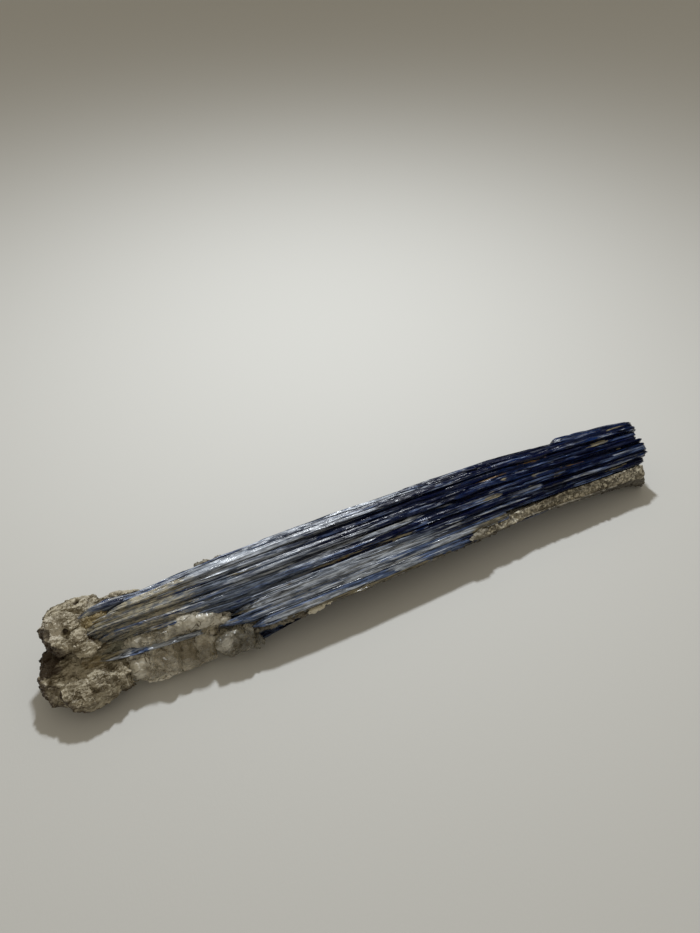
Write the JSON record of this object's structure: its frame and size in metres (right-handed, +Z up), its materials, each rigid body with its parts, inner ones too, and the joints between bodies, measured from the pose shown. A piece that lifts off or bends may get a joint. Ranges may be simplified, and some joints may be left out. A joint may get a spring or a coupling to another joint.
{
  "type": "kyanite blade cluster",
  "caption": "Long bundle of parallel blue kyanite blades on a pale mica and quartz matrix head, a loose hand specimen that lies on a flat face.",
  "frame": {"origin": "middle of the specimen's box, on the surface it lies on", "axes": "+X along the blades, away from the matrix head; +Y towards the back of the bundle; +Z up"},
  "size_m": [0.2904, 0.04, 0.0355],
  "materials": {
    "kyanite_silver": "pearly, finely ridged lengthwise",
    "kyanite_periwinkle": "pearly, finely ridged lengthwise",
    "kyanite_navy": "glassy to pearly, finely ridged lengthwise",
    "kyanite_slate": "pearly, finely ridged lengthwise",
    "mica_matrix": "rough, glistening mica flakes",
    "smoky_quartz": "translucent, broken glassy faces",
    "clear_quartz": "translucent, broken glassy faces with a crumbly rim",
    "tan_matrix": "rough, earthy",
    "granular_matrix": "granular, dull"
  },
  "bodies": {
    "root": {"top_blade_1": "kyanite_silver", "top_blade_2": "kyanite_periwinkle", "top_blade_3": "kyanite_navy", "top_blade_4": "kyanite_navy", "top_blade_5": "kyanite_slate", "top_blade_6": "kyanite_slate", "top_blade_7": "kyanite_navy", "top_blade_8": "kyanite_slate", "top_blade_9": "kyanite_slate", "top_blade_10": "kyanite_silver", "front_blade_1": "kyanite_periwinkle", "front_blade_2": "kyanite_periwinkle", "rear_blade": "kyanite_navy", "middle_blade_back": "kyanite_slate", "middle_blade_front": "kyanite_navy", "under_blade_1": "kyanite_slate", "under_blade_2": "kyanite_navy", "under_blade_3": "kyanite_slate", "under_blade_4": "kyanite_navy", "thin_blade": "kyanite_silver", "matrix_head": "mica_matrix", "quartz_mass": "smoky_quartz", "quartz_knob": "clear_quartz", "seam_layer": "tan_matrix", "edge_matrix": "granular_matrix"}
  },
  "joints": []
}
